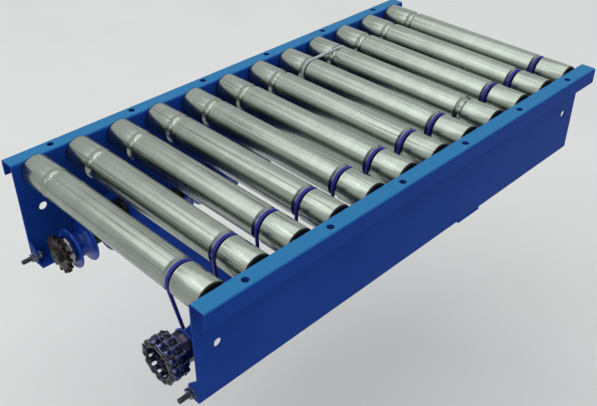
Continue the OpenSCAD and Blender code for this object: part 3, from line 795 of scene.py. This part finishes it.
def lean(off):
    """Angle at which a belt leaves the roller when the spool sits off to that side by off."""
    a = math.radians(11.4)
    for _ in range(6):
        a = math.atan((BELT_LINE * math.cos(a) + off) / (DROP - BELT_LINE * (math.sin(a) + 0.198)))
    return a


def on_roller(i, side, a):
    return Vector((ROLL[i].x + BELT_LINE * math.cos(a), side * GY, RZ + BELT_LINE * math.sin(a)))


def quarter_turn(i):
    """Belt over roller i and, turned by a quarter, under its spool."""
    xr, xs = ROLL[i].x, SPOOL_X[i]
    a1, a2, b = lean(xs - xr), lean(xr - xs), lean(0)
    n = 48
    pts = [on_roller(i, -1, -a2 + (math.pi + a1 + a2) * k / n) for k in range(n + 1)]
    for k in range(n + 1):
        a = b - (math.pi + 2 * b) * k / n
        pts.append(Vector((xs, -GY + BELT_LINE * math.cos(a), SZ + BELT_LINE * math.sin(a))))
    return smooth_loop(resample(pts, 0.0012), 10)


belts = [quarter_turn(i) for i in range(ROLLERS) if i != NO_BELT]
loops("quarter_turn_belts", belts, BELT_R, BELT, "frame", "drive_belts", "belt")
band = [on_roller(NO_BELT, 1, math.pi / 2 - math.pi * k / 32) for k in range(33)]
band += [on_roller(BAND_FROM, 1, -math.pi / 2 - math.pi * k / 32) for k in range(33)]
loops("roller_to_roller_band", [resample(band, 0.0015)], BELT_R, BAND, "frame", "slave_band", "band")

# ---------------------------------------------------------------- line shafts and spools


def build_shaft(name, node, body):
    """Bar with chamfered ends and a centre hole in each."""
    lo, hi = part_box(node)
    r = SHAFT_R
    end = [(0, 0.0035), (0.0012, 0.003), (0.0026, 0.0004), (0.003, 0), (r - 0.001, 0), (r - 0.0004, 0.0002),
           (r, 0.001)]
    bm = bmesh.new()
    solid_spin(bm, [(q, lo.x + z) for q, z in end] + [(q, hi.x - z) for q, z in end[::-1]],
               along_x(0, (lo.y + hi.y) / 2, SZ), 64)
    piece(name, bm, BLACK, body, node)


build_shaft("near_shaft_bar", "near_line_shaft", "near_shaft")
build_shaft("far_shaft_bar", "far_line_shaft", "far_shaft")

SPOOL_ARC = 0.020       # radius of the hollow between the flanges


def spool_profile(fr):
    """Spool with flanges of radius fr; the wider ones start straight from the hollow."""
    t, w = 0.003, SPOOL_W
    hub = [(BORE_R, 0.0), (0.0155, 0.0), (0.0160, 0.0008), (fr - 0.0045, 0.0008), (fr - 0.0040, 0.0)]
    rim = [(fr - 0.0012, 0.0), (fr - 0.0004, 0.0003), (fr, 0.0011), (fr, t - 0.0009), (fr - 0.0004, t - 0.0002),
           (fr - 0.0010, t + 0.0001)]
    foot = [(0.0246, t + 0.0001), (0.0237, t + 0.0004)] if fr > 0.027 else [(0.0237, t + 0.0003)]
    c = GROOVE_R + SPOOL_ARC
    zs = [-0.0115 + 0.023 * k / 16 for k in range(17)]
    hollow = [(c - math.sqrt(SPOOL_ARC ** 2 - z * z), w / 2 + z) for z in zs]
    side = hub + rim + foot
    return side + hollow + [(r, w - z) for r, z in side[::-1]]


def build_spools(name, node, body, y, xs):
    profile = spool_profile(size(node).z / 2)
    bm = bmesh.new()
    for x in xs:
        spin(bm, profile, along_x(x - SPOOL_W / 2, y, SZ), 72)
    piece(name, bm, SPOOL, body, node, sharp=40)


build_spools("near_drive_spools", "near_spools", "near_shaft", -GY, SPOOL_X[:NO_BELT] + SPOOL_X[NO_BELT + 1:])
build_spools("far_idle_spools", "far_spools", "far_shaft", GY, FAR_SPOOL_X)

# ---------------------------------------------------------------- sprockets and hubs


TOOTH_W = 0.0072        # thickness of a sprocket's toothed part
SEAT_R = 0.0044         # a roller's seat between two teeth
TIP_R = PIN_C + 0.0031
TIP_HALF = 0.072        # half angle that a tooth's tip leaves to the next seat
HUB_R = 0.0235          # to the corners of a hub with twelve flats
FLAT_R = 0.0227         # to its flats


def at(r, a):
    return Vector((r * math.cos(a), r * math.sin(a)))


def sprocket_outline(phase):
    """Teeth with round seats and rounded tips."""
    step = 2 * math.pi / LINKS
    seat = []
    for j in range(13):
        q = math.radians(-122) + math.radians(244) * j / 12
        seat.append(Vector((PIN_C - SEAT_R * math.cos(q), SEAT_R * math.sin(q))))
    tip0, tip1 = at(TIP_R, -step / 2 + TIP_HALF), at(TIP_R, step / 2 - TIP_HALF)
    mid0 = (tip0 + seat[0]) / 2 + Vector((0, 0.0002))
    mid1 = (tip1 + seat[-1]) / 2 - Vector((0, 0.0002))
    crest = at(TIP_R, step / 2) * 1.002
    pts = []
    for k in range(LINKS):
        m = Matrix.Rotation(phase + k * step, 2)
        pts += [tuple(m @ v) for v in [tip0, mid0] + seat + [mid1, tip1, crest]]
    return pts


def sprocket(bm, x0, x1, y, phase):
    prism(bm, sprocket_outline(phase), x0, x1, 0.0007, holes=[circle(BORE_R, 64)], mat=along_x(0, y, SZ), seg=2)


def flat_hub(bm, x0, x1, y):
    prism(bm, fillet(circle(HUB_R, 12), 0.0006, 2), x0, x1, 0.001, holes=[circle(BORE_R, 64)],
          mat=along_x(0, y, SZ), seg=2)


def set_screw(bm, x, y, angle):
    """Socket set screw standing just over a flat."""
    m = Matrix.Translation((x, y, SZ)) @ Matrix.Rotation(angle, 4, "X")
    r = FLAT_R
    solid_spin(bm, [(0, r - 0.006), (0.003, r - 0.006), (0.003, r - 0.0003), (0.0026, r + 0.0001),
                    (0.0014, r + 0.0001), (0.0014, r - 0.0014), (0, r - 0.0014)], m, 24)


clo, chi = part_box("coupling_sprocket")
bm = bmesh.new()
sprocket(bm, clo.x, chi.x, -GY, PHASE)
piece("coupling_wheel", bm, HARD, "near_shaft", "coupling_sprocket")
hlo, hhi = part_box("coupling_hub")
bm = bmesh.new()
flat_hub(bm, hlo.x + 0.0052, hhi.x, -GY)
prism(bm, circle(0.021, 64), hlo.x, hlo.x + 0.0055, 0.0004, holes=[circle(BORE_R, 64)], mat=along_x(0, -GY, SZ))
set_screw(bm, (hlo.x + hhi.x) / 2 + 0.003, -GY, math.radians(165))
piece("coupling_boss", bm, MAUVE, "near_shaft", "coupling_hub")
slo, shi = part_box("far_sprocket")
bm = bmesh.new()
sprocket(bm, slo.x, shi.x, GY, math.radians(6))
piece("far_wheel", bm, BLACKENED, "far_shaft", "far_sprocket")
hlo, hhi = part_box("far_hub")
bm = bmesh.new()
flat_hub(bm, hlo.x, hhi.x, GY)
set_screw(bm, (hlo.x + hhi.x) / 2, GY, math.radians(15))
piece("far_boss", bm, BRIGHT, "far_shaft", "far_hub")
lo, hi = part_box("drive_sprocket")
bm = bmesh.new()
sprocket(bm, lo.x, lo.x + TOOTH_W, -GY, 0)
flat_hub(bm, lo.x + TOOTH_W, hi.x, -GY)
piece("drive_wheel", bm, BLACKENED, "near_shaft", "drive_sprocket")
lo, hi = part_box("exit_sprocket")
bm = bmesh.new()
sprocket(bm, hi.x - TOOTH_W, hi.x, -GY, 0)
flat_hub(bm, lo.x, hi.x - TOOTH_W, -GY)
piece("exit_wheel", bm, BLACKENED, "near_shaft", "exit_sprocket")

# ---------------------------------------------------------------- double roller chain


LINK_R = 0.0057         # round ends of a link plate
WAIST = 0.0044          # half its width at the middle
WAIST_ARC = 0.01046     # radius of its hollow sides
INNER_T, OUTER_T, MIDDLE_T = 0.0016, 0.0015, 0.0026
PIN_HOLE, BUSH_HOLE = 0.00224, 0.00312


def link_outline():
    """Waisted plate along Y."""
    r, half, cx = LINK_R, CP / 2, WAIST + WAIST_ARC
    a = math.atan2(cx, half)
    turns = [a - 2 * a * k / 16 for k in range(17)]
    top = [(r * math.sin(-q), half + r * math.cos(-q)) for q in turns]
    low = [(r * math.sin(q), -half - r * math.cos(q)) for q in turns]
    b = math.atan2(half - r * math.cos(a), cx - r * math.sin(a))
    turns = [b - 2 * b * k / 8 for k in range(1, 8)]
    right = [(cx - WAIST_ARC * math.cos(q), WAIST_ARC * math.sin(q)) for q in turns]
    return top + right + low + [(-x, -y) for x, y in right]


LINK = link_outline()
CHAIN_FRAME = along_x(COUP_X, -GY, SZ)
STRANDS = (-STRAND / 2, STRAND / 2)


def link(bm, k, x0, t, hole):
    m = CHAIN_FRAME @ turn(PHASE + (k + 0.5) * 2 * math.pi / LINKS) @ shift(LINK_C, 0, 0)
    holes = [circle(hole, 28, 0, CP / 2), circle(hole, 28, 0, -CP / 2)]
    prism(bm, LINK, x0, x0 + t, 0.00025, holes=holes, mat=m, seg=2)


def at_pin(k):
    return CHAIN_FRAME @ turn(PHASE + k * 2 * math.pi / LINKS) @ shift(PIN_C, 0, 0)


def sleeves(r0, r1, half, edge, seg, n):
    """A sleeve round every pin in both strands."""
    bm = bmesh.new()
    for k in range(LINKS):
        for c in STRANDS:
            profile = fillet([(r0, c - half), (r1, c - half), (r1, c + half), (r0, c + half)], edge, seg)
            spin(bm, profile, at_pin(k), n)
    return bm


bm = bmesh.new()
for k in range(1, LINKS, 2):
    for c in STRANDS:
        for x in (-0.0055, 0.0039):
            link(bm, k, c + x, INNER_T, BUSH_HOLE)
piece("inner_links", bm, CHAIN, "near_shaft", "chain_inner_plates")
bm = bmesh.new()
for k in range(0, LINKS, 2):
    link(bm, k, -STRAND / 2 - 0.00714, OUTER_T, PIN_HOLE)
    link(bm, k, STRAND / 2 + 0.00564, OUTER_T, PIN_HOLE)
    link(bm, k, -MIDDLE_T / 2, MIDDLE_T, PIN_HOLE)
piece("outer_links", bm, CHAIN, "near_shaft", "chain_outer_plates")
piece("link_bushes", sleeves(0.00228, 0.0031, 0.0055, 0.0002, 2, 28), HARD, "near_shaft", "chain_bushes")
piece("link_rollers", sleeves(0.00315, 0.00425, 0.0038, 0.0003, 3, 32), BARREL, "near_shaft", "chain_rollers")
PIN_HALF, PIN_R, RIVET_R = 0.0155, 0.002225, 0.00232
rivet = [(0, 0), (0.0006, 0.00003), (0.0013, 0.0001), (0.0019, 0.0004), (RIVET_R, 0.0007), (RIVET_R, 0.0011),
         (PIN_R, 0.0013)]
half = [(r, -PIN_HALF + z) for r, z in rivet]
bm = bmesh.new()
for k in range(LINKS):
    solid_spin(bm, half + [(r, -z) for r, z in half[::-1]], at_pin(k), 28)
piece("link_pins", bm, PINS, "near_shaft", "chain_pins")

# ---------------------------------------------------------------- CAD nodes shown as they are
for node, mat in (("roller_axles", AXLE), ("roller_cones", AXLE), ("bearing_bushes", BRONZE)):
    me = NODES[node].data
    me.materials.clear()
    me.materials.append(mat)

# ---------------------------------------------------------------- floor, light and camera
STAND = 0.45            # height of the row over the floor
HALL = 14.0             # half the floor's width
corners = [(-HALL, -HALL), (HALL, -HALL), (HALL, HALL), (-HALL, HALL)]
bm = bmesh.new()
prism(bm, fillet(corners, 1.0, 6), -0.02, 0.0, 0.004, mat=shift(0, 0, lo0.z - STAND))
me = bpy.data.meshes.new("floor")
bm.to_mesh(me)
bm.free()
floor = bpy.data.objects.new("floor", me)
me.materials.append(FLOOR)
COL.objects.link(floor)


def area_light(name, loc, target, sx, sy, watts):
    d = bpy.data.lights.new(name, "AREA")
    d.shape = "RECTANGLE"
    d.size, d.size_y = sx, sy
    d.energy = watts
    o = bpy.data.objects.new(name, d)
    o.location = loc
    o.rotation_mode = "QUATERNION"
    o.rotation_quaternion = (Vector(target) - Vector(loc)).to_track_quat("-Z", "Y")
    COL.objects.link(o)


area_light("top", (0.3, 0.3, 4.5), (0, 0, 0), 6.0, 6.0, 105)
area_light("key", (-1.8, 1.4, 2.6), (0, 0, 0), 2.0, 2.0, 16)
area_light("front", (-2.8, -0.8, 1.2), (-0.4, -0.1, -0.1), 1.4, 1.0, 5)
world = bpy.data.worlds.new("studio")
world.use_nodes = True
wn, wl = world.node_tree.nodes, world.node_tree.links
bg = wn["Background"]
bg.inputs["Strength"].default_value = 1.0
wt = wn.new("ShaderNodeTexCoord")
ws = wn.new("ShaderNodeSeparateXYZ")
wl.new(wt.outputs["Generated"], ws.inputs["Vector"])
wr = wn.new("ShaderNodeValToRGB")
horizon, zenith = wr.color_ramp.elements
horizon.position, zenith.position = 0.0, 0.85
horizon.color, zenith.color = (0.72, 0.74, 0.735, 1), (0.83, 0.86, 0.85, 1)
wl.new(ws.outputs["Z"], wr.inputs["Fac"])
wl.new(wr.outputs["Color"], bg.inputs["Color"])
bpy.context.scene.world = world
bpy.context.scene.view_settings.view_transform = "Standard"

cam = bpy.data.cameras.new("camera")
cam.lens = 49.165
cam.sensor_width = 36
cam.clip_start, cam.clip_end = 0.01, 60
co = bpy.data.objects.new("camera", cam)
az, el = math.radians(44.887), math.radians(35.425)
co.location = (-0.85784, -0.79822, 0.64631)
fwd = Vector((math.sin(az) * math.cos(el), math.cos(az) * math.cos(el), -math.sin(el)))
co.rotation_mode = "QUATERNION"
co.rotation_quaternion = fwd.to_track_quat("-Z", "Y")
COL.objects.link(co)
bpy.context.scene.camera = co

bpy.context.view_layer.update()
